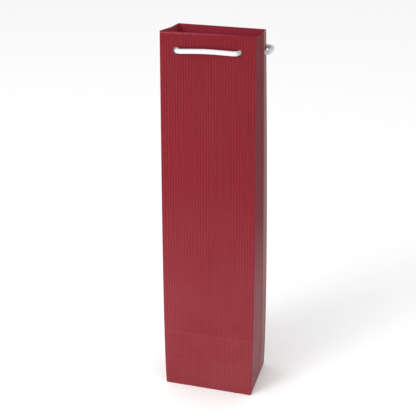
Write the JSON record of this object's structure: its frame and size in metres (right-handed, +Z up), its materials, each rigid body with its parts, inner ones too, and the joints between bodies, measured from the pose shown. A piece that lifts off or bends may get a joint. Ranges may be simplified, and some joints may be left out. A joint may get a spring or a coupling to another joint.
{
  "type": "wine gift bag",
  "caption": "Tall gusseted paper gift bag for one bottle, with a folded block bottom, a turned-in rim and two stowed cord handles that pull up for carrying.",
  "frame": {"origin": "centre of the base, on the surface the bag stands on", "axes": "+Z up to the mouth, -Y out of the front panel, +X to the right seen from the front"},
  "size_m": [0.1042, 0.0689, 0.38],
  "materials": {
    "paper": "ribbed laid, wine red, slight sheen",
    "card": "bare grey-brown board",
    "cord": "soft white twisted cord"
  },
  "bodies": {
    "bag": {"front_panel": "paper", "back_panel": "paper", "left_gusset": "paper", "right_gusset": "paper", "front_hem": "paper", "back_hem": "paper", "left_hem": "paper", "right_hem": "paper", "front_card": "card", "back_card": "card", "seam_flap": "paper", "front_base_flap": "paper", "back_base_flap": "paper", "left_base_flap": "paper", "right_base_flap": "paper", "front_handle_legs": "cord", "front_handle_tails": "cord", "rear_handle_legs": "cord", "rear_handle_tails": "cord"},
    "bottom_board": {"bottom_board": "card"},
    "front_handle": {"front_handle_span": "cord"},
    "front_knots": {"front_handle_knots": "cord"},
    "rear_handle": {"rear_handle_span": "cord"},
    "rear_knots": {"rear_handle_knots": "cord"}
  },
  "joints": [
    {"name": "front_handle_lift", "type": "slide", "parent": "bag", "child": "front_handle", "axis": [0, 0, 1], "range_m": [0, 0.112], "deforming": ["front_handle_legs"]},
    {"name": "front_knots_rise", "type": "slide", "parent": "bag", "child": "front_knots", "axis": [0, 0, 1], "range_m": [0, 0.112], "deforming": ["front_handle_tails"]},
    {"name": "rear_handle_lift", "type": "slide", "parent": "bag", "child": "rear_handle", "axis": [0, 0, 1], "range_m": [0, 0.112], "deforming": ["rear_handle_legs"]},
    {"name": "rear_knots_rise", "type": "slide", "parent": "bag", "child": "rear_knots", "axis": [0, 0, 1], "range_m": [0, 0.112], "deforming": ["rear_handle_tails"]},
    {"name": "board_lift", "type": "slide", "parent": "bag", "child": "bottom_board", "axis": [0, 0, 1], "range_m": [0, 0.12]}
  ],
  "couplings": [
    {"joint": "front_knots_rise", "follows": "front_handle_lift", "ratio": 1},
    {"joint": "rear_knots_rise", "follows": "rear_handle_lift", "ratio": 1}
  ]
}
